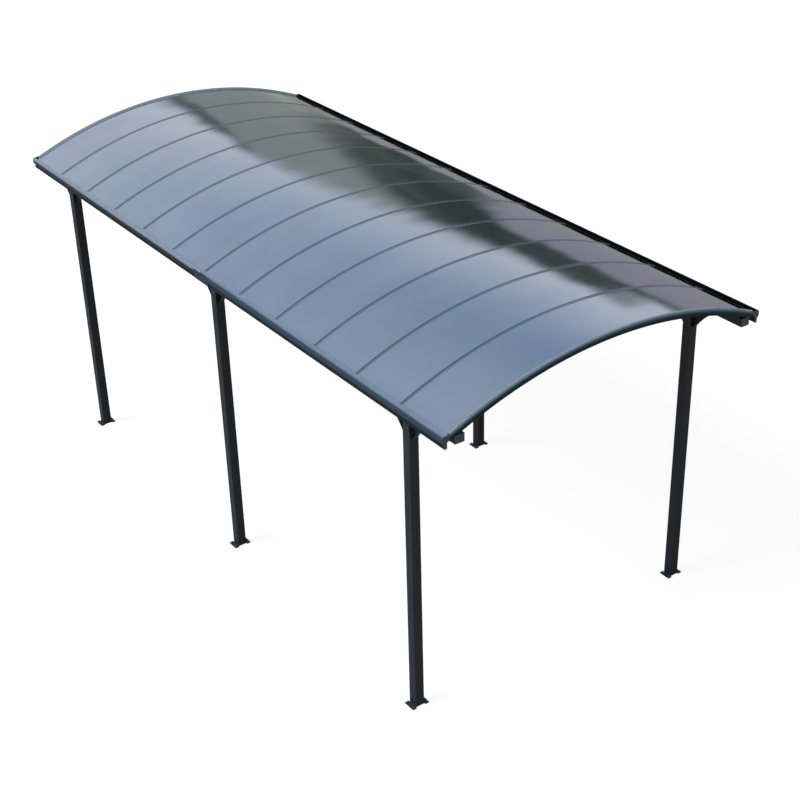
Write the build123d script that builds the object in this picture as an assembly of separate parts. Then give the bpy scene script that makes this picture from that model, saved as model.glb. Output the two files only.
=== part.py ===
from build123d import *
import math
import os

# Arched carport, millimetres. X runs across the bay, Y along it, Z up.
# The origin is on the ground in the middle of the bay. Left is -X, front is -Y.

# Roof arch
roof_length = 7640.0
roof_overhang = 660.0
sheet_radius = 4253.0
sheet_thickness = 6.0
sheet_overhang = 26.0
bay_count = 12

# Posts and feet
post_span = 3210.0
posts_per_side = 3
post_size = 95.0
post_wall = 2.5
post_corner = 4.0
foot_ear = 44.0
foot_ear_reach = 17.5
foot_thickness = 6.0
foot_corner = 5.0
foot_hole_radius = 5.5
foot_hole_margin_x = 20.0
foot_hole_margin_y = 20.0

# Side beams
beam_bottom = 3097.0
beam_height = 80.0
beam_wall = 2.5
beam_corner = 3.0
end_cap = 3.0

# Corner braces
brace_leg = 250.0
brace_tip = 14.0
brace_hollow = 16.0
brace_width = 50.0
brace_flange = 5.0
brace_web = 6.0

# Eave rails
rail_rise = 72.5
rail_reach = 47.5
rail_hook = 8.0
rail_face = 34.0
rail_wall = 3.0

# Gutters
gutter_width = 75.7
gutter_height = 128.0
gutter_lip_rise = 27.7
gutter_wall = 2.5
gutter_fall = 6.0
gutter_shelf_width = 27.7
gutter_shelf_height = 69.0
gutter_waist = 19.0
gutter_waist_height = 46.0
gutter_ogee = 18.0
gutter_lip_width = 18.0
gutter_lip_height = 14.0
gutter_hem = 9.0
splice_length = 250.0
splice_wall = 2.0
splice_margin = 8.0

# Arched rafters between the sheets
rafter_depth = 45.0
rafter_width = 40.0
rafter_web = 5.0
cap_width = 34.0
cap_thickness = 3.0

# Rims that close the two ends of the roof
rim_depth = 44.0
rim_above = 21.0
rim_below = 52.0
rim_lean = 6.0
rim_round = 20.0
rim_step = 3.0
rim_slot = 20.0
rim_end = 3.0

# Clearances
seat = 0.3
sheet_play = 2.0

# Places across the bay
post_x = post_span / 2
beam_width = post_size
beam_inner_x = post_x - beam_width / 2
beam_outer_x = post_x + beam_width / 2
rail_outer_x = beam_outer_x + rail_reach
gutter_inner_x = rail_outer_x + seat
gutter_step_x = gutter_inner_x + gutter_shelf_width
gutter_nose_x = gutter_inner_x + gutter_width
sheet_end_x = rail_outer_x + sheet_overhang

# Places along the bay
half_length = roof_length / 2
bay_pitch = roof_length / bay_count
post_pitch = (roof_length - 2 * roof_overhang) / (posts_per_side - 1)
post_rows = [(i - (posts_per_side - 1) / 2) * post_pitch for i in range(posts_per_side)]
rail_end_y = half_length - rim_depth - seat

# Radii of the arch, whose middle is set by the rails on the beams
beam_top = beam_bottom + beam_height
sheet_under = sheet_radius - sheet_thickness
rib_top = sheet_under - seat
rib_low = rib_top - rafter_depth
rail_top = rib_top - seat
cap_low = sheet_radius + seat
cap_top = cap_low + cap_thickness
rim_low = sheet_radius - rim_below
rim_high = sheet_radius + rim_above
arch_z = beam_top + rail_rise - math.sqrt(rail_top**2 - beam_inner_x**2)
arch_axis = Axis((0, 0, arch_z), (0, 1, 0))
sheet_half_angle = math.degrees(math.asin(sheet_end_x / sheet_radius))
above_all = arch_z + 2 * sheet_radius


def arc_height(radius, x):
    """Height of an arch of this radius at a distance x from the middle."""
    return arch_z + math.sqrt(radius**2 - x**2)


gutter_lip_z = arc_height(sheet_radius, sheet_end_x) + gutter_lip_rise
gutter_bottom_z = gutter_lip_z - gutter_height


def bent(section, half_angle):
    """A section drawn at the crown in the YZ plane, swept along the arch to both eaves."""
    arch = revolve(section, axis=arch_axis, revolution_arc=2 * half_angle)
    return arch.rotate(arch_axis, -half_angle)


def arch_box(y_low, y_high, r_low, r_high):
    """A rectangle at the crown, between two places along Y and two arch radii."""
    centre = ((y_low + y_high) / 2, arch_z + (r_low + r_high) / 2)
    return Plane.YZ * Pos(*centre) * Rectangle(y_high - y_low, r_high - r_low)


def block(x_low, x_high, y_low, y_high, z_low, z_high):
    """A plain box between six planes, used to trim."""
    centre = ((x_low + x_high) / 2, (y_low + y_high) / 2, (z_low + z_high) / 2)
    return Pos(*centre) * Box(x_high - x_low, y_high - y_low, z_high - z_low)


def along(section, y_low, y_high):
    """A section in the XZ plane, made long between two places along Y."""
    return Pos(0, y_low, 0) * extrude(section, y_high - y_low, dir=(0, 1, 0))


def on_side(piece, side):
    """The right-hand piece, or its mirror image on the left."""
    return piece if side > 0 else piece.mirror(Plane.YZ)


def xz(*points):
    """Points of the XZ plane as vectors."""
    return [Vector(x, 0, z) for x, z in points]


def post(y):
    """A square tube from the foot to the underside of the beam."""
    bore = post_size - 2 * post_wall
    tube = RectangleRounded(post_size, post_size, post_corner) - Rectangle(bore, bore)
    return Pos(post_x, y, foot_thickness) * extrude(tube, beam_bottom - foot_thickness)


def foot(y):
    """A base plate notched back to the post between four drilled ears."""
    length_x = post_size + 2 * foot_ear
    width_y = post_size + 2 * foot_ear_reach
    plate = chamfer(Rectangle(length_x, width_y).vertices(), foot_corner)
    notch = Rectangle(post_size, foot_ear_reach)
    notch_y = (width_y - foot_ear_reach) / 2
    plate -= Pos(0, notch_y) * notch + Pos(0, -notch_y) * notch
    spacing_x = length_x - 2 * foot_hole_margin_x
    spacing_y = width_y - 2 * foot_hole_margin_y
    plate -= GridLocations(spacing_x, spacing_y, 2, 2) * Circle(foot_hole_radius)
    return Pos(post_x, y, 0) * extrude(plate, foot_thickness)


def brace_outline(way):
    """A right-angled gusset in the YZ plane with blunt tips and a hollowed long side."""
    corner_y = way * post_size / 2
    tip_y = corner_y + way * brace_leg
    nose_y = corner_y + way * brace_tip
    nose_z = beam_bottom - brace_tip
    low_z = beam_bottom - brace_leg
    inset = brace_hollow / math.sqrt(2)
    middle = (0, (nose_y + tip_y) / 2 - way * inset, (low_z + nose_z) / 2 + inset)
    legs = Polyline((0, nose_y, low_z), (0, corner_y, low_z), (0, corner_y, beam_bottom), (0, tip_y, beam_bottom))
    tip = Line((0, tip_y, beam_bottom), (0, tip_y, nose_z))
    long_side = ThreePointArc((0, tip_y, nose_z), middle, (0, nose_y, low_z))
    return make_face([*legs.edges(), tip, long_side])


def brace(y, way):
    """A gusset under the beam beside a post: a thin web inside a wide flange all round."""
    face = brace_outline(way)
    solid = extrude(face, brace_width / 2, both=True, dir=(1, 0, 0))
    pocket_depth = (brace_width - brace_web) / 2
    pocket = extrude(offset(face, -brace_flange), pocket_depth, dir=(1, 0, 0))
    solid -= Pos(brace_web / 2, 0, 0) * pocket
    solid -= Pos(-brace_web / 2 - pocket_depth, 0, 0) * pocket
    return Pos(post_x, y, 0) * solid


def beam():
    """A box section along the tops of the posts."""
    tube = RectangleRounded(beam_width, beam_height, beam_corner)
    tube -= Rectangle(beam_width - 2 * beam_wall, beam_height - 2 * beam_wall)
    section = Plane.XZ * Pos(post_x, beam_bottom + beam_height / 2) * tube
    return along(section, end_cap - half_length, half_length - end_cap)


def rail_outline():
    """The eave rail: flat on the beam, hooked over its edge, its top following the arch."""
    hook_x = beam_outer_x + seat
    top_inner = (beam_inner_x, arc_height(rail_top, beam_inner_x))
    top_outer = (rail_outer_x, arc_height(rail_top, rail_outer_x))
    middle_x = (beam_inner_x + rail_outer_x) / 2
    under = Polyline(
        *xz(
            top_inner,
            (beam_inner_x, beam_top),
            (hook_x, beam_top),
            (hook_x, beam_top - rail_hook),
            (rail_outer_x, top_outer[1] - rail_face),
            top_outer,
        )
    )
    crest = ThreePointArc(*xz(top_outer, (middle_x, arc_height(rail_top, middle_x)), top_inner))
    return make_face([*under.edges(), crest])


def eave_rail():
    """A hollow wedge that seats the sheets and the rafter ends, and carries the gutter."""
    outline = rail_outline()
    cell = offset(outline, -rail_wall, kind=Kind.INTERSECTION)
    return along(outline - cell, -rail_end_y, rail_end_y)


def gutter_line():
    """The outer line of the gutter: inner wall, shelf, deep channel, ogee face and rolled lip."""
    waist_x = gutter_nose_x - gutter_waist
    waist_z = gutter_bottom_z + gutter_waist_height
    crest_x = gutter_nose_x - gutter_lip_width
    points = xz(
        (gutter_inner_x, arc_height(rail_top, gutter_inner_x + gutter_wall) - seat),
        (gutter_inner_x, gutter_bottom_z + gutter_shelf_height),
        (gutter_step_x, gutter_bottom_z + gutter_shelf_height - gutter_fall),
        (gutter_step_x, gutter_bottom_z + gutter_fall),
        (waist_x, gutter_bottom_z),
        (waist_x, waist_z),
        (gutter_nose_x, waist_z + gutter_ogee),
        (gutter_nose_x, gutter_lip_z - gutter_lip_height),
        (crest_x, gutter_lip_z),
        (crest_x - gutter_hem, gutter_lip_z - gutter_hem),
    )
    shelf, step, floor, bead, waist, nose, shoulder, lip = 5, 5, 6, 7, 12, 40, 26, 7
    return FilletPolyline(*points, radius=[shelf, step, floor, bead, waist, nose, shoulder, lip]).wire()


def gutter(y_low, y_high):
    """A thin open trough with an ogee face and a rolled lip."""
    skin = offset(gutter_line(), gutter_wall, side=Side.LEFT, closed=True)
    return along(make_face(skin), y_low, y_high)


def splice():
    """A sleeve round the outside of the gutter where its two lengths meet."""
    line = gutter_line()
    sleeve = make_face(offset(line, seat + splice_wall, side=Side.RIGHT, closed=True))
    sleeve -= make_face(offset(line, seat, side=Side.RIGHT, closed=True))
    low_x = gutter_step_x + splice_margin
    high_x = gutter_nose_x + 2 * splice_wall
    low_z = gutter_bottom_z - 2 * splice_wall
    high_z = gutter_lip_z - gutter_lip_height
    window = Polyline(*xz((low_x, low_z), (high_x, low_z), (high_x, high_z), (low_x, high_z)), close=True)
    return along(sleeve & make_face(window), -splice_length / 2, splice_length / 2)


def gutter_cap(y):
    """A plate that closes the end of the gutter, as high as the lip beside the rim."""
    line = gutter_line()
    corner = Vector(gutter_inner_x, 0, gutter_lip_z)
    plate = make_face([*line.edges(), *Polyline(line @ 1, corner, line @ 0).edges()])
    return along(plate, y, y + end_cap)


def beam_cap(y):
    """A plate that closes the end of the beam."""
    plate = chamfer(Rectangle(beam_width, beam_height).vertices(), beam_corner / 2)
    section = Plane.XZ * Pos(post_x, beam_bottom + beam_height / 2) * plate
    return along(section, y, y + end_cap)


def rafter(y):
    """A bent H-shaped bar: a rib under the sheets, a web between them and a cap on top."""
    half_rib = rafter_width / 2
    section = arch_box(y - half_rib, y + half_rib, rib_low, rib_top)
    section += arch_box(y - rafter_web / 2, y + rafter_web / 2, rib_top, cap_low)
    section += arch_box(y - cap_width / 2, y + cap_width / 2, cap_low, cap_top)
    bar = bent(section, sheet_half_angle)
    # The rib stops at the eave rails. The web and the cap run on over them.
    rib_zone = arch_box(y - rafter_width, y + rafter_width, rib_low - rafter_depth, rib_top)
    spare = bent(rib_zone, sheet_half_angle + 1)
    stop = beam_inner_x - seat
    return bar - (spare - block(-stop, stop, y - rafter_width, y + rafter_width, 0, above_all))


def roof_panel(index):
    """A bent sheet, held between two webs or between a web and a rim."""
    web_edge = rafter_web / 2 + sheet_play
    rim_edge = rim_depth - rim_slot + sheet_play
    low = -half_length + index * bay_pitch + (rim_edge if index == 0 else web_edge)
    high = -half_length + (index + 1) * bay_pitch - (rim_edge if index == bay_count - 1 else web_edge)
    return bent(arch_box(low, high, sheet_under, sheet_radius), sheet_half_angle)


def rim():
    """The bent profile of the front end: a rounded brow that falls to the sheet it holds in a slot."""
    front = -half_length
    back = front + rim_depth
    crest = front + rim_round
    low = arch_z + rim_low
    high = arch_z + rim_high
    brow_middle = rim_round * (1 - math.sqrt(0.5))
    brow = ThreePointArc(
        (0, front, high - rim_round),
        (0, front + brow_middle, high - brow_middle),
        (0, crest, high),
    )
    rest = Polyline(
        (0, crest, high),
        (0, back, arch_z + sheet_radius + rim_step),
        (0, back, low),
        (0, front + rim_lean, low),
        (0, front, high - rim_round),
    )
    section = make_face([brow, *rest.edges()])
    section -= arch_box(back - rim_slot, back + 1, sheet_under - seat, sheet_radius + seat)
    arch = bent(section, math.degrees(math.asin(rail_outer_x / rim_low)) + 1)
    stop = rail_outer_x - rim_end
    arch &= block(-stop, stop, front - 1, back + 1, 0, above_all)
    # It steps over the ends of the beams.
    for side in (-1, 1):
        ends = sorted((side * (beam_inner_x - seat), side * (beam_outer_x + seat)))
        arch -= block(*ends, front - 1, back + 1, 0, beam_top + seat)
    return arch


def write(name, *solids):
    """Write one named node."""
    node = solids[0] if len(solids) == 1 else Compound(children=list(solids))
    export_step(node, f"parts/{name}.step")


os.makedirs("parts", exist_ok=True)

sides = {-1: "left", 1: "right"}
gutter_end = half_length - end_cap
cap_rows = (-half_length, gutter_end)

for side, name in sides.items():
    for y, row in zip(post_rows, ("front", "middle", "rear")):
        write(f"{name}_{row}_post", on_side(post(y), side))
    write(f"{name}_base_plates", *[on_side(foot(y), side) for y in post_rows])
    write(f"{name}_corner_braces", *[on_side(brace(y, way), side) for y in post_rows for way in (-1, 1)])
    write(f"{name}_beam", on_side(beam(), side))
    write(f"{name}_eave_rail", on_side(eave_rail(), side))
    write(f"{name}_front_gutter", on_side(gutter(-gutter_end, -seat / 2), side))
    write(f"{name}_rear_gutter", on_side(gutter(seat / 2, gutter_end), side))

write("gutter_splices", *[on_side(splice(), side) for side in sides])
write("end_caps", *[on_side(cap(y), side) for cap in (gutter_cap, beam_cap) for y in cap_rows for side in sides])
for joint in range(1, bay_count):
    write(f"rafter_{joint:02d}", rafter(joint * bay_pitch - half_length))
for index in range(bay_count):
    write(f"roof_panel_{index + 1:02d}", roof_panel(index))
write("front_rim", rim())
write("rear_rim", rim().mirror(Plane.XZ))
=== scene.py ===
# %% [markdown]
# The carport, dressed.
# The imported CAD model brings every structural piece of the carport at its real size: posts on
# base plates, braces, beams, eave rails, gutters, arched rafters, roof sheets and the two rims.
# This lesson adds what a drawing leaves out: the finish of each metal and plastic part, the
# fasteners, the welds, the seals in the roof, the strip along each eave, and the light.
# Everything is in metres in the CAD frame: X across the bay, Y along it, Z up.

# %% Load the frame
import math

import bpy
import numpy as np
from mathutils import Matrix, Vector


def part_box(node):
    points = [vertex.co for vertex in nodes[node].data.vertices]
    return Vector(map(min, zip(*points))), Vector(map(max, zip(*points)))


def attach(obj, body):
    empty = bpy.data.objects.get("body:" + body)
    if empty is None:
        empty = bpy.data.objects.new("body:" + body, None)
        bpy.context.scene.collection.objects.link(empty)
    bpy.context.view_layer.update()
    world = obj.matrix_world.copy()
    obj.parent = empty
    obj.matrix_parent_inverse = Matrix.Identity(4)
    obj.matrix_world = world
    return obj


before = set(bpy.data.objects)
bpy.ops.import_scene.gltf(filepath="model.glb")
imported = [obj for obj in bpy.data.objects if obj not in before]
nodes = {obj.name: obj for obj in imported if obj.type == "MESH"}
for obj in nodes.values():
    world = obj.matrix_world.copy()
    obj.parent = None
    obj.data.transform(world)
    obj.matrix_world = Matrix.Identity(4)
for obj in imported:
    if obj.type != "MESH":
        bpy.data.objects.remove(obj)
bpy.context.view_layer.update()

print("CAD nodes:", len(nodes))

# %% [markdown]
# Places that later cells need are measured on the frame, so that they follow it.
# The roof is part of a cylinder that lies along Y. Its radius is the one drawn in the CAD, and its
# middle is one radius below the top of a sheet. A point of the roof is then given by its place
# along Y, its angle from the crown and its distance from the cylinder's middle.

# %% Measure the frame
def low_corner(node):
    return np.array(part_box(node)[0])


def high_corner(node):
    return np.array(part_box(node)[1])


def rounded(length):
    return round(float(length), 4)


both_sides = ((-1, "left"), (1, "right"))
sheet_radius = 4.253
arch_middle_z = high_corner("roof_panel_06")[2] - sheet_radius
sheet_end_x = high_corner("roof_panel_06")[0]
eave_angle = math.asin(sheet_end_x / sheet_radius)
post_rows = np.array([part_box(f"left_{row}_post")[0][1] for row in ("front", "middle", "rear")])
post_size = high_corner("left_front_post")[1] - low_corner("left_front_post")[1]
post_rows = post_rows + post_size / 2
post_x = (low_corner("right_front_post")[0] + high_corner("right_front_post")[0]) / 2
plate_top = low_corner("left_front_post")[2]
beam_under = high_corner("left_front_post")[2]
rafter_names = sorted(name for name in nodes if name.startswith("rafter_"))
joint_rows = np.array([(low_corner(n)[1] + high_corner(n)[1]) / 2 for n in rafter_names])
half_length = high_corner("rear_rim")[1]
bay_pitch = joint_rows[1] - joint_rows[0]
gutter_heights = (low_corner("left_front_gutter")[2], high_corner("left_front_gutter")[2])
rim_below = 0.052
rim_radii = (sheet_radius - rim_below, high_corner("front_rim")[2] - arch_middle_z)
rim_back = abs(high_corner("front_rim")[1])
print("post rows:", post_rows.round(4), "post x:", rounded(post_x), "plate top:", rounded(plate_top))
print("joints:", joint_rows.round(3), "pitch:", rounded(bay_pitch))
print("sheet end x:", rounded(sheet_end_x), "rim back:", rounded(rim_back))

# %% [markdown]
# The camera stands in front of the left side, well above the roof, and looks down along the bay.
# Its place and its lens were found by fitting the posts, plates, joints and eaves of the CAD model
# to where the photograph shows them. The photograph was cropped a little off its middle, and a
# small lens shift says so. Depth of field stays off.

# %% Camera
def laid_along(x_axis, y_axis, z_axis, place=(0, 0, 0)):
    """The matrix that lays an object's own axes along three others and puts it at a place."""
    matrix = np.eye(4)
    matrix[:3, :4] = np.column_stack([x_axis, y_axis, z_axis, place])
    return Matrix(matrix.tolist())


camera_data = bpy.data.cameras.new("view_camera")
camera_data.sensor_width = 36.0
camera_data.lens = 68.009
camera_data.shift_x = -0.05
camera_data.shift_y = -0.03125
camera_data.clip_end = 1000.0
camera = bpy.data.objects.new("view_camera", camera_data)
bpy.context.scene.collection.objects.link(camera)
view_right = np.array([0.79831489, -0.60214294, -0.01082700])
view_forward = np.array([0.52171523, 0.70044178, -0.48702620])
view_up = np.cross(view_right, view_forward)
view_place = (-7.7204, -11.7826, 9.3044)
camera.matrix_world = laid_along(view_right, view_up, -view_forward, view_place)
bpy.context.scene.camera = camera
print("lens", camera_data.lens, "mm, shift", camera_data.shift_x, camera_data.shift_y)

# %% [markdown]
# Shader maths is easier to read as arithmetic. Value wraps one number socket of a material, and
# its operators add Math nodes. Finish is one material: node() adds any node by its type, with its
# settings first and then the values or links of its sockets.

# %% Shader helpers
class Value:
    """A socket that carries a number or a vector. The operators add Math nodes."""

    def __init__(self, finish, socket):
        self.finish = finish
        self.socket = socket

    def maths(self, operation, first, second):
        return self.finish.node("Math", {"operation": operation}, {0: first, 1: second})

    def __add__(self, other):
        return self.maths("ADD", self, other)

    def __sub__(self, other):
        return self.maths("SUBTRACT", self, other)

    def __mul__(self, other):
        return self.maths("MULTIPLY", self, other)

    def __truediv__(self, other):
        return self.maths("DIVIDE", self, other)

    def __pow__(self, other):
        return self.maths("POWER", self, other)

    def __rsub__(self, other):
        return self.maths("SUBTRACT", other, self)

    __radd__ = __add__
    __rmul__ = __mul__


class Finish:
    """One procedural material on Object coordinates."""

    def __init__(self, name):
        self.material = bpy.data.materials.new(name)
        self.material.use_nodes = True
        self.tree = self.material.node_tree
        self.tree.nodes.clear()
        self.place = self.node("TexCoord", out="Object")

    def node(self, kind, settings=None, values=None, out=0):
        """Any node by its type: its settings come first, then its sockets' values or links."""
        made = self.tree.nodes.new("ShaderNode" + kind)
        for key, value in (settings or {}).items():
            if key == "stops":
                ramp = made.color_ramp.elements
                while len(ramp) < len(value):
                    ramp.new(0.5)
                for element, (position, colour) in zip(ramp, value):
                    element.position = position
                    element.color = colour
            else:
                setattr(made, key, value)
        for key, value in (values or {}).items():
            if isinstance(value, Value):
                self.tree.links.new(value.socket, made.inputs[key])
            else:
                made.inputs[key].default_value = value
        return Value(self, made.outputs[out])

    def stretched(self, x, y, z):
        """The object's coordinates, multiplied along each axis, so that a noise on them is drawn out."""
        return self.node("Mapping", None, {"Vector": self.place, "Scale": (x, y, z)})

    def noise(self, place, scale, detail=2.0):
        """Soft lumps from 0 to 1, about as many to the metre as the scale says."""
        return self.node("TexNoise", None, {"Vector": place, "Scale": scale, "Detail": detail}, out="Fac")

    def between(self, value, low, high):
        """The value, brought from low..high to 0..1 with soft ends."""
        settings = {"interpolation_type": "SMOOTHSTEP"}
        return self.node("MapRange", settings, {"Value": value, "From Min": low, "From Max": high})

    def in_proportion(self, value, low, high):
        """The value, brought from low..high to 0..1 in proportion."""
        return self.node("MapRange", None, {"Value": value, "From Min": low, "From Max": high})

    def blend(self, share, first, second):
        """A colour between two others."""
        return self.node("Mix", {"data_type": "RGBA"}, {0: share, 6: first, 7: second}, out=2)

    def axis(self, name):
        """One of the object's coordinates."""
        return self.node("SeparateXYZ", None, {"Vector": self.place}, out=name)

    def upward(self):
        """How far the surface faces up, from -1 to 1."""
        normal = self.node("NewGeometry", out="Normal")
        return self.node("SeparateXYZ", None, {"Vector": normal}, out="Z")

    def outward(self, axis):
        """How far the surface faces away from the carport's middle along an axis, from -1 to 1."""
        normal = self.node("NewGeometry", out="Normal")
        sideways = self.node("SeparateXYZ", None, {"Vector": normal}, out=axis)
        return sideways * self.node("Math", {"operation": "SIGN"}, {0: self.axis(axis)})

    def ramp(self, share, stops):
        """A colour from a row of (place, colour) stops."""
        return self.node("ValToRGB", {"stops": stops}, {0: share})

    def relief(self, height, depth, strength=1.0):
        """The normal of a surface that a height from 0 to 1 lifts by up to a depth in metres."""
        values = {"Height": height, "Distance": depth, "Strength": strength}
        return self.node("Bump", None, values, out="Normal")

    def surface(self, **sockets):
        """The Principled shader, with sockets named with underscores for spaces."""
        values = {key.replace("_", " "): value for key, value in sockets.items()}
        shader = self.node("BsdfPrincipled", None, values)
        self.node_output(shader)
        return self.material

    def node_output(self, shader):
        """Makes a shader the one that the material shows."""
        output = self.tree.nodes.new("ShaderNodeOutputMaterial")
        self.tree.links.new(shader.socket, output.inputs["Surface"])


def colour(text):
    """An sRGB colour written as six hex digits, as the linear numbers that a socket takes."""
    srgb = np.array([int(text[i:i + 2], 16) for i in (0, 2, 4)]) / 255.0
    linear = np.where(srgb <= 0.04045, srgb / 12.92, ((srgb + 0.055) / 1.055) ** 2.4)
    return (*[float(v) for v in linear], 1.0)


print("a mid grey as linear numbers:", [round(v, 3) for v in colour("808080")])

# %% [markdown]
# The aluminium of a carport is sprayed with powder and baked, which leaves a satin skin with a
# very fine orange peel. Under it the lines of the extrusion still show along the bar, and dust
# settles on what faces up. So a coat needs its own colour, its lines along the right axis, a
# little dust and a shallow relief. One function makes all of them, and each piece gets its own.

# %% Powder coats
peel_scale = 900.0
cloud_scale = 3.1


def powder_coat(name, base, light, dust, lines, roughness=0.42, dusty=0.35):
    """Satin powder on extruded metal. The lines are a noise squeezed across the bar."""
    coat = Finish(name)
    drawn = coat.noise(coat.stretched(*lines), 1.0, 3.0)
    clouds = coat.noise(coat.place, cloud_scale, 4.0)
    grain = coat.noise(coat.place, peel_scale)
    tone = coat.between(drawn * 0.62 + clouds * 0.38, 0.34, 0.66)
    skin = coat.blend(tone, colour(base), colour(light))
    patches = coat.between(coat.noise(coat.place, 14.0, 5.0), 0.3, 0.75)
    settled = coat.between(coat.upward(), 0.25, 0.95) * patches
    skin = coat.blend(settled * dusty, skin, colour(dust))
    rough = drawn * 0.12 + settled * 0.15 + (roughness - 0.06)
    relief = coat.relief(grain * 0.5 + drawn * 0.5, 0.00025, 0.6)
    return coat.surface(Base_Color=skin, Roughness=rough, Normal=relief, Specular_IOR_Level=0.35)


along_z = (260.0, 260.0, 1.3)
along_y = (240.0, 1.1, 240.0)
along_arch = (1.2, 260.0, 90.0)
any_way = (30.0, 30.0, 30.0)
plain_coats = {
    "post_coat": ("1a2128", "2b333a", "565c61", along_z),
    "foot_coat": ("1f252a", "2e343a", "62676a", any_way, 0.5, 0.5),
    "brace_coat": ("171d23", "232a31", "464c52", any_way, 0.5),
    "beam_coat": ("1b2329", "2b343c", "4c545b", along_y),
    "rail_coat": ("1e262d", "303a44", "4f5962", along_y),
    "splice_coat": ("1f2a3a", "2f3e52", "42536a", along_y, 0.34),
}
coats = {name: powder_coat(name, *settings) for name, settings in plain_coats.items()}
print("powder coats:", sorted(coats))

# %% [markdown]
# A rafter's cap has two bright wings and a darker insert between them. The wings show the sky as
# the sheets beside them do, so they are mostly mirror. Only the faces that look up get that mirror
# and a light blue-grey, a painted reflection; the sides and the rib below take a dark coat. All caps
# share one finish, which finds the middle of each from the count of bays along Y.

# %% Rafter coat
def rafter_finish():
    """Wings that mirror like the sheets, painted light where they look up, and a darker insert along the
    middle.

    The distance to the nearest joint is how far the count of bays is from a whole number, times
    the pitch. The insert is where it's under 8 mm.
    """
    coat = Finish("rafter_coat")
    drawn = coat.noise(coat.stretched(*along_arch), 1.0, 3.0)
    pitches = (coat.axis("Y") + half_length) / bay_pitch + 0.5
    beside = coat.node("Math", {"operation": "FRACT"}, {0: pitches}) - 0.5
    aside = coat.node("Math", {"operation": "ABSOLUTE"}, {0: beside}) * float(bay_pitch)
    insert = coat.between(aside, 0.0088, 0.0072)
    top = coat.between(coat.upward(), 0.5, 0.8)
    # Painted reflection: a light blue-grey where the cap looks up, a dark coat on its sides and the rib.
    wings_painted_light = coat.blend(drawn, colour("94a1b3"), colour("a0acbc"))
    cap = coat.blend(insert, wings_painted_light, coat.blend(drawn, colour("3b4b5e"), colour("4a5b6f")))
    skin = coat.blend(top, coat.blend(drawn, colour("3c4854"), colour("4b5865")), cap)
    share = top * (0.92 - insert * 0.6)
    rough = drawn * 0.1 + 0.14
    return coat.surface(Base_Color=skin, Metallic=share, Roughness=rough, Specular_IOR_Level=0.4)


coats["rafter_coat"] = rafter_finish()
print("half a bay:", rounded(bay_pitch / 2), "m from the middle of a cap to the middle of a sheet")

# %% [markdown]
# The gutters and rims have a glossier coat. Each step of their profile turns to another part of
# the surroundings, and its colour is a painted reflection and shade of that part: a ramp gives a
# fixed colour for each level, light at the top and dark low down. The faces inside a gutter's
# channel get a painted shade, nearly black, and the slope behind a rim's crest a painted reflection
# in the pale grey of the sheets. The rear gutters have their own ramp, darker low down and lighter
# at the lip.

# %% Coats with painted reflection and shade
def coat_with_painted_light(name, level, shades, lines, roughness, mirror, inner_face, inner_painted_light):
    """Gloss powder, painted with reflection and shade by level, and with its own on the inner face."""
    coat = Finish(name)
    drawn = coat.noise(coat.stretched(*lines), 1.0, 3.0)
    clouds = coat.noise(coat.place, cloud_scale, 4.0)
    wander = (drawn - 0.5) * 0.03 + (clouds - 0.5) * 0.04
    # Painted reflection and shade: each level gets a fixed colour, light where the profile would mirror
    # the sky, dark where it would be in shade.
    skin = coat.ramp(level(coat) + wander, [(place, colour(shade)) for place, shade in shades])
    inside = inner_face(coat)
    # Painted light on the inner face: a near black painted shade in a gutter's channel, a pale painted
    # reflection on a rim's back slope.
    skin = coat.blend(inside, skin, colour(inner_painted_light))
    share = coat.between(coat.upward(), 0.3, 0.9) * (1.0 - inside) * mirror
    rough = drawn * 0.1 + roughness
    relief = coat.relief(coat.noise(coat.place, peel_scale), 0.00012, 0.5)
    return coat.surface(
        Base_Color=skin, Metallic=share, Roughness=rough, Normal=relief, Specular_IOR_Level=0.15
    )


def gutter_level(coat):
    """0 at the gutter's bottom and 1 at its lip."""
    return coat.in_proportion(coat.axis("Z"), *gutter_heights)


def rim_level(coat):
    """0 at the rim's lower edge and 1 at its crest, measured from the middle of the arch."""
    x = coat.axis("X")
    z = coat.axis("Z") - arch_middle_z
    return coat.in_proportion((x * x + z * z) ** 0.5, *rim_radii)


def channel_side(coat):
    """1 on the faces of a gutter that look into its channel."""
    return coat.between(coat.outward("X"), -0.05, -0.4)


def back_slope(coat):
    """1 on the slope of a rim that falls back to the sheets."""
    return coat.between(coat.outward("Y"), -0.05, -0.3) * coat.between(coat.upward(), 0.3, 0.6)


# The gutters' painted shade and reflection by level: dark below, mid blue-grey on the nose, the pale grey
# of the mirrored sky at the lip.
gutter_painted_shades = [
    (0.0, "1a222b"), (0.2, "101b25"), (0.42, "22303d"), (0.55, "364858"), (0.7, "314658"),
    (0.88, "384f63"), (0.93, "506579"), (0.975, "7c8da2"), (1.0, "8b9cb1"),
]
# The rear gutters' painted shade and reflection: nearly black below, the pale grey of the mirrored sky
# above.
rear_gutter_painted_shades = [
    (0.0, "070c12"), (0.3, "0a131c"), (0.66, "14202c"), (0.76, "506074"), (0.85, "8494a9"),
    (1.0, "93a2b5"),
]
# The rims' painted shade and reflection: dark teal at the lower edge, lighter up the face, pale at the
# crest where it would mirror the sky.
rim_painted_shades = [
    (0.0, "0f1f23"), (0.35, "182d33"), (0.55, "314d57"), (0.7, "597688"), (0.84, "7c95a7"),
    (1.0, "9eafbf"),
]
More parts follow.
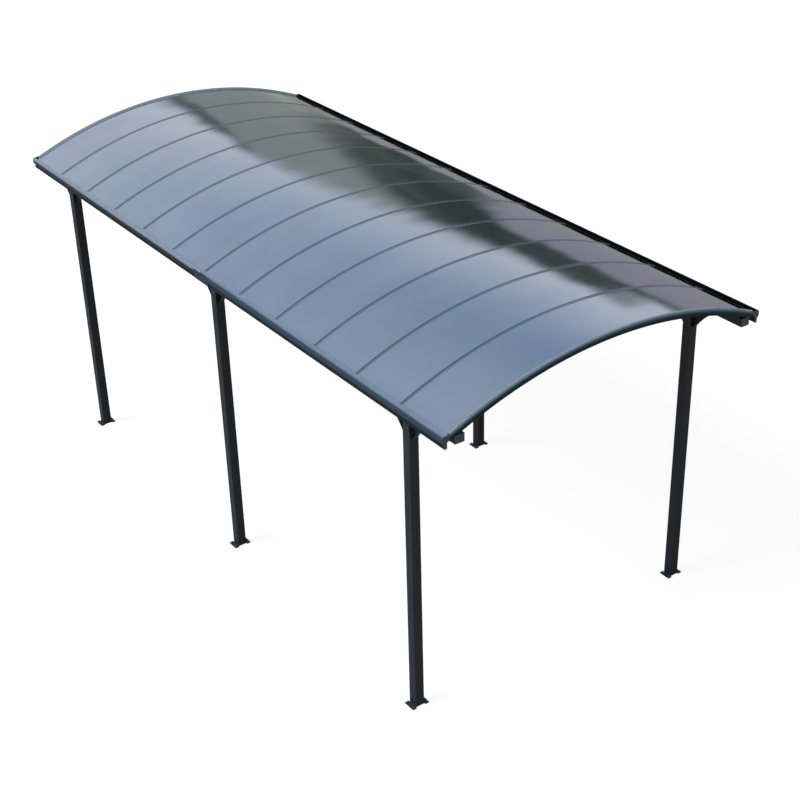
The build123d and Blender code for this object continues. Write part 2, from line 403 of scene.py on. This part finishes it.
# A painted black shade inside the gutters' channels, and a painted reflection in the sheets' pale grey on
# the rims' back slopes.
channel_painted_shade = {"inner_face": channel_side, "inner_painted_light": "0a0d11"}
crest_painted_reflection = {"inner_face": back_slope, "inner_painted_light": "8e9ba9"}
coats["gutter_coat"] = coat_with_painted_light(
    "gutter_coat", gutter_level, gutter_painted_shades, along_y, roughness=0.3, mirror=0.3, **channel_painted_shade
)
coats["rim_coat"] = coat_with_painted_light(
    "rim_coat", rim_level, rim_painted_shades, along_arch, roughness=0.26, mirror=0.2, **crest_painted_reflection
)
rear_gutter_coat = coat_with_painted_light(
    "rear_gutter_coat", gutter_level, rear_gutter_painted_shades, along_y, roughness=0.26, mirror=0.3,
    **channel_painted_shade,
)
print("gutter heights:", [rounded(height) for height in gutter_heights])
print("rim radii:", [rounded(radius) for radius in rim_radii])

# %% [markdown]
# The roof sheets are smoked polycarbonate under a mirroring sun film, with fine channels that run
# from eave to eave. The plastic is dark, and what is seen is the surroundings in the film. A metal
# says this best: it is all mirror, its base colour tints what it shows, and a low roughness
# softens that a little. The channels are a shallow wave along Y, a slow swell stands for the
# spring in a thin sheet, and each sheet leans a little in its own way, so that what it mirrors
# steps a little at each joint.

# %% Roof sheets
channel_pitch = 0.011


def smoked_sheet():
    """A blue-grey mirror film on dark plastic, its channels a sine wave along Y.

    The height is the channels' wave, plus the swell's noise, plus a slope along X that differs
    from bay to bay.
    """
    sheet = Finish("roof_sheet")
    along = sheet.axis("Y")
    channels = sheet.node("Math", {"operation": "SINE"}, {0: along * (2 * math.pi / channel_pitch)})
    clouds = sheet.noise(sheet.stretched(1.6, 1.1, 1.6), 1.0, 3.0)
    tone = sheet.between(clouds + channels * 0.03, 0.3, 0.7)
    film = sheet.noise(sheet.stretched(9.0, 26.0, 9.0), 1.0, 5.0)
    mirror = sheet.blend(tone, colour("b0b9c9"), colour("b6bfce"))
    mirror = sheet.blend(sheet.between(film, 0.45, 0.8) * 0.15, mirror, colour("bcc3ce"))
    swell = sheet.noise(sheet.stretched(0.9, 1.9, 0.9), 1.0, 1.0)
    number = sheet.node("Math", {"operation": "FLOOR"}, {0: (along + half_length) / bay_pitch})
    chance = sheet.node("TexWhiteNoise", {"noise_dimensions": "1D"}, {"W": number + 0.5}, out="Value")
    lean = chance - 0.5
    channel_height, swell_height, lean_slope = 0.000003, 0.005, 0.02
    height = channels * channel_height + swell * swell_height + sheet.axis("X") * lean * lean_slope
    relief = sheet.relief(height, 1.0)
    rough = film * 0.06 + 0.05
    return sheet.surface(Base_Color=mirror, Metallic=1.0, Roughness=rough, Normal=relief, IOR=1.58)


coats["roof_sheet"] = smoked_sheet()
print("roof sheet finish made")

# %% [markdown]
# The end caps are moulded plastic with the fine texture of the mould. The anchors and rivets are
# galvanised or stainless steel, which is metal all through, so Metallic is 1 and the colour is
# that of the reflection. The strips along the eaves are bare aluminium, made in the same way. The
# seals are pale grey-blue, rubber at the joints and sealant at the rims, and dull. The screws and
# the welds are coated like the frame.

# %% Small finishes
def moulded_plastic():
    """Finely grained plastic, a little lighter in clouds."""
    cap = Finish("cap_plastic")
    grain = cap.noise(cap.place, 1400.0, 2.0)
    clouds = cap.noise(cap.place, 9.0, 3.0)
    skin = cap.blend(cap.between(clouds, 0.3, 0.7), colour("3d4954"), colour("4f5d69"))
    rough = grain * 0.1 + 0.45
    return cap.surface(Base_Color=skin, Roughness=rough, Normal=cap.relief(grain, 0.0001), IOR=1.49)


def bright_alloy():
    """Brushed bare aluminium under clear lacquer, drawn along the eave."""
    alloy = Finish("bright_alloy")
    drawn = alloy.noise(alloy.stretched(*along_y), 1.0, 3.0)
    stain = alloy.noise(alloy.place, 5.0, 4.0)
    tone = alloy.between(drawn * 0.5 + stain * 0.5, 0.35, 0.65)
    skin = alloy.blend(tone, colour("a6b1c1"), colour("b2bcca"))
    rough = drawn * 0.06 + 0.09
    relief = alloy.relief(drawn, 0.00005, 0.5)
    return alloy.surface(Base_Color=skin, Metallic=0.96, Roughness=rough, Normal=relief)


def fastener_steel(name, dark, light, roughness):
    """Metal with a fine spangle, duller where it is stained."""
    steel = Finish(name)
    spangle = steel.noise(steel.place, 320.0, 3.0)
    stain = steel.noise(steel.place, 60.0, 4.0)
    tone = steel.between(spangle * 0.6 + stain * 0.4, 0.35, 0.65)
    skin = steel.blend(tone, colour(dark), colour(light))
    rough = stain * 0.2 + roughness
    relief = steel.relief(spangle, 0.0001)
    return steel.surface(Base_Color=skin, Metallic=1.0, Roughness=rough, Normal=relief)


def seal_rubber(name, dark, light):
    """Dull rubber with a soft bloom."""
    rubber = Finish(name)
    bloom = rubber.noise(rubber.place, 45.0, 5.0)
    skin = rubber.blend(rubber.between(bloom, 0.35, 0.7), colour(dark), colour(light))
    rough = bloom * 0.2 + 0.55
    return rubber.surface(Base_Color=skin, Roughness=rough, Normal=rubber.relief(bloom, 0.0002))


coats["cap_plastic"] = moulded_plastic()
galvanised = fastener_steel("galvanised_steel", "6f7478", "9aa0a4", 0.32)
stainless = fastener_steel("stainless_steel", "8d9296", "b4b8bb", 0.2)
joint_rubber = seal_rubber("joint_rubber", "8795a9", "94a2b5")
clear_seal = seal_rubber("clear_seal", "7f8da0", "8f9db0")
eave_alloy = bright_alloy()
coated_steel = powder_coat("coated_steel", "323d48", "45525f", "5e6b78", any_way, 0.4)
weld_coat = powder_coat("weld_coat", "272c31", "3a4046", "5b6065", any_way, 0.5)
for name, node in nodes.items():
    for slot in node.material_slots:
        slot_name = slot.material.name.split(".")[0]
        slot.material = coats.get(slot_name, slot.material)
# The rear gutters take the coat with their own painted ramp of reflection and shade.
for name in ("left_rear_gutter", "right_rear_gutter"):
    nodes[name].material_slots[0].material = rear_gutter_coat
shown = sorted({slot.material.name for node in nodes.values() for slot in node.material_slots})
print("finishes on the CAD nodes:", shown)

# %% [markdown]
# Every added piece is a skin over a stack of rings: a ring is a closed row of points, and the
# stack follows a line. A bolt's line is its own axis, and a seal's line is the arch of the roof.
# The rings are worked out as one array, the faces come from the ring and point numbers, and a fan
# closes each end. Copies are the same array moved to other places, so nothing loops over points.

# %% Skin and piece helpers
def side_faces(rings):
    """Two triangles between each point of a ring, the next point and the same two of the next ring."""
    count, size = rings.shape[:2]
    ring, point = np.meshgrid(np.arange(count - 1), np.arange(size), indexing="ij")
    after = (point + 1) % size
    a, b = ring * size + point, ring * size + after
    c, d = b + size, a + size
    triangles = [np.stack([a, b, c], -1), np.stack([a, c, d], -1)]
    return np.concatenate(triangles, None).reshape(-1, 3)


def skin(rings):
    """Faces over rings (rings x points x 3), as triangles, with a fan on the first and last ring."""
    count, size = rings.shape[:2]
    sides = side_faces(rings)
    points = np.concatenate([rings.reshape(-1, 3), [rings[0].mean(0), rings[-1].mean(0)]])
    p = np.arange(size)
    q = (p + 1) % size
    first, last = count * size, count * size + 1
    foot = np.stack([np.full(size, first), q, p], -1)
    head = np.stack([np.full(size, last), p + (count - 1) * size, q + (count - 1) * size], -1)
    return points, np.concatenate([sides, foot, head])


def copies(shape, places):
    """One shape at many places: the points are added to each place, the faces are numbered on."""
    points, faces = shape
    places = np.asarray(places, float).reshape(-1, 3)
    moved = (points[None] + places[:, None]).reshape(-1, 3)
    numbers = np.arange(len(places))[:, None, None] * len(points)
    return moved, (faces[None] + numbers).reshape(-1, 3)


def joined(shapes):
    """Several shapes as one."""
    starts = np.cumsum([0] + [len(points) for points, _ in shapes[:-1]])
    faces = [part + start for (_, part), start in zip(shapes, starts)]
    return np.concatenate([points for points, _ in shapes]), np.concatenate(faces)


def turned(shape, x_axis, y_axis, z_axis):
    """A shape with its own axes laid along three others."""
    return shape[0] @ np.array([x_axis, y_axis, z_axis], float), shape[1]


def piece(name, shape, material, angle=38.0):
    """A mesh object at the origin that rides on the carport."""
    points, faces = shape
    mesh = bpy.data.meshes.new(name)
    mesh.from_pydata(points.tolist(), [], faces.tolist())
    mesh.polygons.foreach_set("use_smooth", np.ones(len(faces), bool))
    mesh.set_sharp_from_angle(angle=math.radians(angle))
    mesh.materials.append(material)
    made = bpy.data.objects.new(name, mesh)
    bpy.context.scene.collection.objects.link(made)
    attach(made, "root")
    print(f"{name}: {len(faces)} triangles")


tube = np.zeros((3, 4, 3))
print("three rings of four points make", len(skin(tube)[1]), "triangles")

# %% [markdown]
# Each base plate is held down by four threaded anchors. On the real one a stud stands up through
# the hole with a washer and a six-sided nut on it. All three are turned shapes: a radius that
# changes with height and, for the nut, with the angle too. Six flats are the distance to the
# nearest of six lines round the axis, and a cone cuts their corners off.

# %% Anchor bolts
def lathe(heights, radii, sides=24):
    """Rings round Z: a radius for each height, and for each angle where radii has a second axis."""
    angle = np.arange(sides) * 2 * np.pi / sides
    radii = np.broadcast_to(np.asarray(radii, float).reshape(len(heights), -1), (len(heights), sides))
    z = np.broadcast_to(np.asarray(heights, float)[:, None], radii.shape)
    return skin(np.stack([radii * np.cos(angle), radii * np.sin(angle), z], -1))


def six_flats(flat, cone, sides=24):
    """The radius of a hexagon at each angle, no more than the radius of the cone."""
    angle = np.arange(sides) * 2 * np.pi / sides
    from_flat = (angle + np.pi / 6) % (np.pi / 3) - np.pi / 6
    return np.minimum(flat / np.cos(from_flat), cone)


def nut(flat, low, high, low_cut=0.0008, high_cut=0.0011):
    """A hexagon whose upper and lower corners are cut by cones."""
    corner = flat / math.cos(math.pi / 6)
    levels = [low, low + low_cut, high - high_cut, high]
    cones = [flat * 1.02, corner, corner, flat * 0.99]
    return lathe(levels, [six_flats(flat, cone) for cone in cones])


def thread(radius, pitch, low, high, depth=0.0005, end_cut=0.0012):
    """A stud whose radius rises and falls once for each turn of the thread, six rings to a turn."""
    levels = np.linspace(low, high, int((high - low) / pitch * 6) + 1)
    wave = radius - depth * (0.5 - 0.5 * np.cos(2 * np.pi * (levels - low) / pitch))
    wave[-1] = radius - end_cut
    return lathe(levels, wave, 16)


washer_top = 0.002
washer = lathe([0, 0.0003, 0.0017, washer_top], [0.0102, 0.0105, 0.0105, 0.0102], 32)
hexagon = nut(flat=0.0085, low=washer_top, high=0.0104)
stud = thread(radius=0.0049, pitch=0.0015, low=0.0, high=0.0195)
anchor = joined([washer, hexagon, stud])
hole_inset = 0.020
offset_x = high_corner("right_base_plates")[0] - hole_inset - post_x
offset_y = high_corner("right_base_plates")[1] - hole_inset - post_rows[-1]
for side, word in both_sides:
    x, y, row = np.meshgrid([-offset_x, offset_x], [-offset_y, offset_y], post_rows, indexing="ij")
    places = np.stack([x + side * post_x, y + row, np.full(x.shape, plate_top)], -1)
    piece(f"{word}_anchor_bolts", copies(anchor, places), galvanised)

# %% [markdown]
# The post is welded to its plate along the two sides where the ears reach out. A weld is a string
# of small overlapping pools, so its profile is a quarter round that swells and shrinks along Y.

# %% Welds
def weld_bead(length, radius, ripples=26, stations=105):
    """A quarter round along Y. Its radius follows the ripples and falls away at both ends."""
    s = np.linspace(0, 1, stations)
    ends = np.clip(np.minimum(s, 1 - s) / 0.05, 0.15, 1) ** 0.5
    size = radius * ends * (1 + 0.13 * np.abs(np.sin(np.pi * ripples * s)))
    turn = np.linspace(0, np.pi / 2, 5)
    across = np.concatenate([[0.0], np.cos(turn)])
    up = np.concatenate([[0.0], np.sin(turn)])
    y = np.broadcast_to(((s - 0.5) * length)[:, None], (stations, len(up)))
    rings = np.stack([size[:, None] * across, y, size[:, None] * up], -1)
    return skin(rings[:, ::-1])


post_corner = 0.004
bead = weld_bead(length=post_size - 2 * post_corner, radius=0.0042)
mirrored_bead = turned(bead, (-1, 0, 0), (0, -1, 0), (0, 0, 1))
for side, word in both_sides:
    rows = np.stack([np.full(3, side * post_x), post_rows, np.full(3, plate_top)], -1)
    out = copies(bead, rows + [post_size / 2, 0, 0])
    back = copies(mirrored_bead, rows - [post_size / 2, 0, 0])
    piece(f"{word}_welds", joined([out, back]), weld_coat)

# %% [markdown]
# Screws hold the braces to the posts and beams and the rafters to the rails. They share one form,
# a low dome on a flange, in two sizes, and stand square on the face that they hold.

# %% Screws
def dome_screw(radius, height, arc=1.1):
    """A flanged head: a flat rim, then an arc that rises to the middle, with a round socket."""
    turn = np.linspace(0, 1, 5) * arc
    dome_radii = radius * 0.72 * np.cos(turn)
    radii = np.concatenate([[radius, radius], dome_radii, [radius * 0.25, radius * 0.22]])
    dome = height * (0.28 + 0.72 * np.sin(turn) / math.sin(arc))
    heights = np.concatenate([[0, height * 0.22], dome, [height, height * 0.55]])
    return lathe(heights, radii, 16)


def facing(shape, way):
    """A shape that points up Z, turned to point along an axis."""
    way = np.array(way, float) / np.linalg.norm(way)
    side = np.cross(way, (0, 1, 0)) if abs(way[1]) < 0.9 else np.cross(way, (1, 0, 0))
    side = side / np.linalg.norm(side)
    return turned(shape, side, np.cross(way, side), way)


brace_screw = dome_screw(0.008, 0.005)
brace_flange = 0.005
brace_steps = [0.055, 0.120, 0.185]
half_pair = 0.014
for side, word in both_sides:
    shapes = []
    for way in (-1, 1):
        x, row, step = np.meshgrid([-half_pair, half_pair], post_rows, brace_steps, indexing="ij")
        wall = row + way * (post_size / 2 + brace_flange)
        to_post = np.stack([x + side * post_x, wall, beam_under - step], -1)
        under = row + way * (post_size / 2 + step)
        to_beam = np.stack([x + side * post_x, under, np.full(x.shape, beam_under - brace_flange)], -1)
        shapes.append(copies(facing(brace_screw, (0, way, 0)), to_post))
        shapes.append(copies(facing(brace_screw, (0, 0, -1)), to_beam))
    piece(f"{word}_brace_screws", joined(shapes), coated_steel)

cap_top = high_corner("rafter_06")[2] - arch_middle_z
rafter_screw = dome_screw(0.0075, 0.0045)
rafter_screw_x = 1.640
screw_angle = math.asin(rafter_screw_x / sheet_radius)
shapes = []
for side in (-1, 1):
    way = np.array([side * math.sin(screw_angle), 0, math.cos(screw_angle)])
    on_cap = way * cap_top + [0, 0, arch_middle_z]
    places = on_cap + np.stack([0 * joint_rows, joint_rows, 0 * joint_rows], -1)
    shapes.append(copies(facing(rafter_screw, way), places))
piece("rafter_screws", joined(shapes), coated_steel)

# %% [markdown]
# A rubber lip closes the gap between each cap and the sheets beside it. It is pale, and from far
# away the darker insert between two lips is what draws the joints of the roof. A lip is a small
# half round carried along the arch. The same sweep lays a bead of sealant where the end sheets go
# into the rims. Both stop short of the sheets' ends, the lips by 2 mm and the beads by 37 mm.

# %% Seals along the arch
def along_arch_sweep(across, above, y, angle, stations=73):
    """A profile (across Y, above the sheet) at each angle from the crown, between both eaves."""
    a = np.linspace(-angle, angle, stations)[:, None]
    r = sheet_radius + np.asarray(above)[None]
    x = r * np.sin(a)
    z = arch_middle_z + r * np.cos(a)
    yy = np.broadcast_to(y + np.asarray(across)[None], x.shape)
    return skin(np.stack([x, yy, z], -1))


half_cap = 0.017
turn = np.linspace(0, np.pi, 6)
lip_width, lip_height = 0.0036, 0.0026
lip_lift = 0.0001
lip_across = lip_width / 2 * np.cos(turn)
lip_above = lip_height * np.sin(turn) + lip_lift
lip_end = eave_angle - 0.0004
lips = []
for way in (-1, 1):
    for y in joint_rows:
        beside_cap = y + way * (half_cap + lip_width / 2)
        lips.append(along_arch_sweep(lip_across, lip_above, beside_cap, lip_end))
piece("joint_lips", joined(lips), joint_rubber)

bead_across = np.array([0.0040, 0.0037, 0.0026, 0.0010, 0.0])
bead_above = np.array([0.0001, 0.0008, 0.0017, 0.0024, 0.0001])
bead_end = eave_angle - 0.0087
seals = []
for way in (-1, 1):
    across = bead_across if way < 0 else -bead_across[::-1]
    above = bead_above if way < 0 else bead_above[::-1]
    seals.append(along_arch_sweep(across, above, way * rim_back, bead_end))
piece("rim_seals", joined(seals), clear_seal)

# %% [markdown]
# Along each eave one bright profile lies over the ends of all the joints. Its inner edge tapers to
# nothing on the sheets, so that water runs over it, and its flat part rests on the caps and reaches
# out over the gutter. A stem under it closes the open channels of the sheets, and a short foot holds
# it under them. A fan can't close a profile that bends back on itself, so its ends are cut into
# eight triangles, listed one by one. Beside each rim the flat part alone runs on to the gutter's end cap.

# %% Eave strips
def eave_strip(side):
    """The profile, drawn at the sheets' end in the XZ plane and run along Y.

    u is a place along the sheet, outwards from its end, and v is one above its top face.
    """
    out = np.array([math.cos(eave_angle), -math.sin(eave_angle)])
    up = np.array([math.sin(eave_angle), math.cos(eave_angle)])
    end = np.array([sheet_end_x, arch_middle_z + math.sqrt(sheet_radius**2 - sheet_end_x**2)])
    toe, knee, outer, back, front, foot = -0.030, -0.008, 0.018, 0.0002, 0.0010, -0.006
    top, under, stem_end, foot_top = 0.0046, 0.0036, -0.0072, -0.0065
    u = np.array([toe, knee, outer, outer, front, front, foot, foot, back, back])
    v = np.array([0.0, top, top, under, under, stem_end, stem_end, foot_top, foot_top, 0.0])
    line = end + u[:, None] * out + v[:, None] * up
    y = np.linspace(-strip_end, strip_end, 25)
    shape = (len(y), len(u))
    x = np.broadcast_to(side * line[:, 0], shape)
    z = np.broadcast_to(line[:, 1], shape)
    rings = np.stack([x, np.broadcast_to(y[:, None], shape), z], -1)
    upper = [[0, 1, 9], [1, 4, 9], [1, 2, 4], [2, 3, 4]]
    lower = [[9, 4, 8], [4, 5, 8], [5, 6, 7], [5, 7, 8]]
    first = np.array(upper + lower)
    last = first[:, ::-1] + (len(y) - 1) * len(u)
    strip = rings.reshape(-1, 3), np.concatenate([side_faces(rings), first, last])
    points, faces = joined([strip, *strip_tabs(rings)])
    return points, faces if side > 0 else faces[:, ::-1]


def strip_tabs(rings):
    """The flat part alone, carried on beside each rim to the gutter's end cap.

    Its outline is the flat part's outer edge, the end of its under side at the stem, and the point
    over that on top. It is moved along Y by the way from the strip's end to the end cap.
    """
    corners = rings[[0, -1]][:, [2, 3, 4]]
    over_stem = corners[:, :1] + (corners[:, 2:] - corners[:, 1:2])
    ends = np.concatenate([corners, over_stem], 1)
    reach = tab_end - strip_end
    near = np.stack([ends[0] - [0, reach, 0], ends[0]])
    far = np.stack([ends[1], ends[1] + [0, reach, 0]])
    return [skin(near), skin(far)]


strip_gap, tab_gap = 0.001, 0.0005
strip_end = high_corner("roof_panel_12")[1] - strip_gap
tab_end = high_corner("left_rear_gutter")[1] - tab_gap
print("strip end:", rounded(strip_end), "tab end:", rounded(tab_end))
for side, word in both_sides:
    piece(f"{word}_eave_strip", eave_strip(side), eave_alloy)

# %% [markdown]
# Two rows of rivets join the gutter's two lengths under each sleeve. They sit on the straight part
# of its face, below the nose, where they show as small dots.

# %% Splice rivets
nose_reach = 0.019
sleeve_face = high_corner("gutter_splices")[0] - nose_reach
sleeve_foot = low_corner("gutter_splices")[2]
rivet = dome_screw(0.0042, 0.0020)
rivet_rows = [-0.105, -0.035, 0.035, 0.105]
rivet_heights = [0.016, 0.034]
shapes = []
for side in (-1, 1):
    y, z = np.meshgrid(rivet_rows, rivet_heights, indexing="ij")
    places = np.stack([np.full(y.shape, side * sleeve_face), y, z + sleeve_foot], -1)
    shapes.append(copies(facing(rivet, (side, 0, 0)), places))
piece("splice_rivets", joined(shapes), stainless)

# %% [markdown]
# The floor is a plain sheet. The camera sees it nearly white, through a share of its own light,
# while the object's shadow stays on it. To all other rays it is a plain grey, so that it doesn't
# flood the undersides.

# %% Floor
def flat_sheet(half, z):
    """A level square of two triangles."""
    u, v = np.meshgrid([-half, half], [-half, half], indexing="ij")
    points = np.stack([u, v, np.full(u.shape, z)], -1).reshape(-1, 3)
    return points, np.array([[0, 2, 3], [0, 3, 1]])


def stage_object(name, shape, material):
    """A mesh object of the set, which is no part of the carport."""
    mesh = bpy.data.meshes.new(name)
    mesh.from_pydata(shape[0].tolist(), [], shape[1].tolist())
    mesh.materials.append(material)
    made = bpy.data.objects.new(name, mesh)
    bpy.context.scene.collection.objects.link(made)
    return made


def floor_finish():
    """A dull grey, with a light of its own added for the camera alone."""
    paint = Finish("floor_paint")
    path = paint.node("LightPath", out="Is Camera Ray")
    soft = paint.node("BsdfDiffuse", None, {"Color": (0.30, 0.30, 0.30, 1)})
    own = paint.node("Emission", None, {"Color": (1, 1, 1, 1), "Strength": 0.84})
    seen = paint.node("AddShader", None, {0: soft, 1: own})
    grey = paint.node("BsdfDiffuse", None, {"Color": (0.38, 0.38, 0.38, 1)})
    paint.node_output(paint.node("MixShader", None, {0: path, 1: grey, 2: seen}))
    return paint.material


floor_half = 60.0
floor_drop = 0.0005
stage_object("floor", flat_sheet(floor_half, -floor_drop), floor_finish())
print("floor laid:", 2 * floor_half, "m wide")

# %% [markdown]
# The world is white to the camera, to gloss and through glass, and a calmer grey as a light. One
# wide sun from the left and a little behind gives the posts their light and dark sides. Its disc
# is kept out of gloss, because the sheets would mirror it as a hard white patch.

# %% World and sun
def background(strength):
    """White light of some strength."""
    made = tree.nodes.new("ShaderNodeBackground")
    made.inputs["Color"].default_value = (1, 1, 1, 1)
    made.inputs["Strength"].default_value = strength
    return made.outputs[0]


def either(first, second):
    """1 where one of two sockets is 1."""
    made = tree.nodes.new("ShaderNodeMath")
    made.operation = "MAXIMUM"
    tree.links.new(first, made.inputs[0])
    tree.links.new(second, made.inputs[1])
    return made.outputs[0]


world = bpy.data.worlds.new("studio")
bpy.context.scene.world = world
world.use_nodes = True
tree = world.node_tree
tree.nodes.clear()
rays = tree.nodes.new("ShaderNodeLightPath")
camera_or_gloss = either(rays.outputs["Is Camera Ray"], rays.outputs["Is Glossy Ray"])
sees_white = either(camera_or_gloss, rays.outputs["Is Transmission Ray"])
light_strength, seen_strength = 0.4, 1.0
pick = tree.nodes.new("ShaderNodeMixShader")
tree.links.new(sees_white, pick.inputs[0])
tree.links.new(background(light_strength), pick.inputs[1])
tree.links.new(background(seen_strength), pick.inputs[2])
sky = tree.nodes.new("ShaderNodeOutputWorld")
tree.links.new(pick.outputs[0], sky.inputs["Surface"])

sun_data = bpy.data.lights.new("window_light", "SUN")
sun_data.energy = 2.2
sun_data.angle = math.radians(35)
sun = bpy.data.objects.new("window_light", sun_data)
bpy.context.scene.collection.objects.link(sun)
to_sun = np.array([-0.72, 0.22, 0.66])
to_sun = to_sun / np.linalg.norm(to_sun)
across = np.cross((0, 0, 1), to_sun)
across = across / np.linalg.norm(across)
sun.matrix_world = laid_along(across, np.cross(to_sun, across), to_sun)
sun.visible_glossy = False
print("sun strength", rounded(sun_data.energy), "from", to_sun.round(3))

# %% [markdown]
# A gloss needs something to mirror. Out of doors a roof like this shows the sky on its near slope
# and the dark line of trees along its crest. A dome stands far round the set for that. Only glossy
# rays see it: the camera, the lamps and the floor don't, so it changes nothing but gloss. Its lower
# part shines in the colours of trees, a wall and haze. Its upper part is clear and lets the white
# world through, in a blue that is deepest halfway up. The height over the horizon is the arcsine
# of a point's Z on the unit dome, and the turn round the set comes from its X and Y.

# %% Dome for the gloss
def dome_shape(radius, middle_z, low, rings=42, sides=96, short_of_pole=0.001):
    """Half a ball round the roof that faces inwards: a height angle from just under the horizon up."""
    heights = np.linspace(low, np.pi / 2 - short_of_pole, rings)
    turns = np.arange(sides) * 2 * np.pi / sides
    height, turn = np.meshgrid(heights, turns, indexing="ij")
    flat = np.cos(height)
    ball = np.stack([flat * np.cos(turn), flat * np.sin(turn), np.sin(height)], -1)
    points, faces = skin(radius * ball)
    return points + [0, 0, middle_z], faces[:, ::-1]


def dome_finish(radius, middle_z):
    """Trees below a ragged line, a wall straight behind, haze to the sides and a tinted clear sky.

    Heights over the horizon and turns aside from the way to the rear are in degrees.
    """
    cloth = Finish("dome_cloth")
    degrees = 180 / math.pi
    rear_turn = 90.0
    unit_z = (cloth.axis("Z") - middle_z) / radius
    height = cloth.node("Math", {"operation": "ARCSINE"}, {0: unit_z}) * degrees
    round_set = {0: cloth.axis("Y"), 1: cloth.axis("X")}
    turn = cloth.node("Math", {"operation": "ARCTAN2"}, round_set) * degrees
    aside = cloth.node("Math", {"operation": "ABSOLUTE"}, {0: turn - rear_turn})
    ragged = cloth.noise(cloth.stretched(0.014, 0.014, 0.008), 1.0, 4.0) * 3.0 - 1.5
    tree_line = 11.5
    tall = cloth.between(aside, 51.0, 47.0) * 7.0
    taller = cloth.between(aside, 44.0, 30.0) * 5.0
    dip = cloth.between(aside, 29.0, 24.0) * 3.5
    rise = tall + taller + tree_line - dip
    sky_share = cloth.between(height + ragged - rise, -2.0, 2.8)
    folds = cloth.noise(cloth.stretched(0.04, 0.04, 0.011), 1.0, 3.0)
    shadow, leaves = (0.045, 0.065, 0.06, 1), (0.10, 0.125, 0.105, 1)
    trees = cloth.blend(cloth.between(folds, 0.3, 0.75), shadow, leaves)
    behind = cloth.between(aside, 38.5, 35.0)
    hedge = cloth.between(aside, 28.6, 27.2) * cloth.between(height, 16.6, 18.4)
    wall = cloth.blend(cloth.between(height, 3.0, 0.0), (0.33, 0.36, 0.32, 1), (0.42, 0.43, 0.38, 1))
    wall = cloth.blend(hedge, wall, (0.13, 0.15, 0.15, 1))
    haze = cloth.between(aside, 43.2, 45.0) * cloth.between(height, 11.0, 8.0)
    ground = cloth.blend(behind, cloth.blend(haze, trees, (0.345, 0.32, 0.37, 1)), wall)
    beside = [
        (0.05, (0.78, 0.80, 0.83, 1)), (0.15, (0.66, 0.70, 0.77, 1)), (0.25, (0.55, 0.63, 0.71, 1)),
        (0.35, (0.42, 0.52, 0.64, 1)), (0.45, (0.33, 0.44, 0.585, 1)), (0.55, (0.31, 0.42, 0.55, 1)),
        (0.65, (0.38, 0.48, 0.57, 1)), (1.0, (0.50, 0.58, 0.66, 1)),
    ]
    behind_roof = [
        (0.05, (0.90, 0.92, 0.92, 1)), (0.15, (0.82, 0.85, 0.87, 1)), (0.25, (0.68, 0.73, 0.79, 1)),
        (0.35, (0.57, 0.65, 0.73, 1)), (0.45, (0.49, 0.575, 0.68, 1)), (0.55, (0.485, 0.565, 0.665, 1)),
        (0.65, (0.515, 0.585, 0.665, 1)), (1.0, (0.60, 0.66, 0.72, 1)),
    ]
    level = cloth.in_proportion(height, 20.0, 60.0)
    near_middle = cloth.in_proportion(aside, 40.0, 0.0)
    blue = cloth.blend(near_middle, cloth.ramp(level, beside), cloth.ramp(level, behind_roof))
    dark = cloth.node("Emission", None, {"Color": ground, "Strength": 1.0})
    clear = cloth.node("BsdfTransparent", None, {"Color": blue})
    cloth.node_output(cloth.node("MixShader", None, {0: sky_share, 1: dark, 2: clear}))
    return cloth.material


dome_radius = 400.0
roof_z = 3.3
dome_low = -0.06
dome = stage_object("dome", dome_shape(dome_radius, roof_z, dome_low), dome_finish(dome_radius, roof_z))
dome.visible_camera = False
dome.visible_diffuse = False
dome.visible_transmission = False
dome.visible_volume_scatter = False
dome.visible_shadow = False
print("dome set, radius", dome_radius)

# %% [markdown]
# The plain view transform shows the colours as they are, so that white stays white.

# %% View transform
bpy.context.scene.view_settings.view_transform = "Standard"
print("view transform:", bpy.context.scene.view_settings.view_transform)
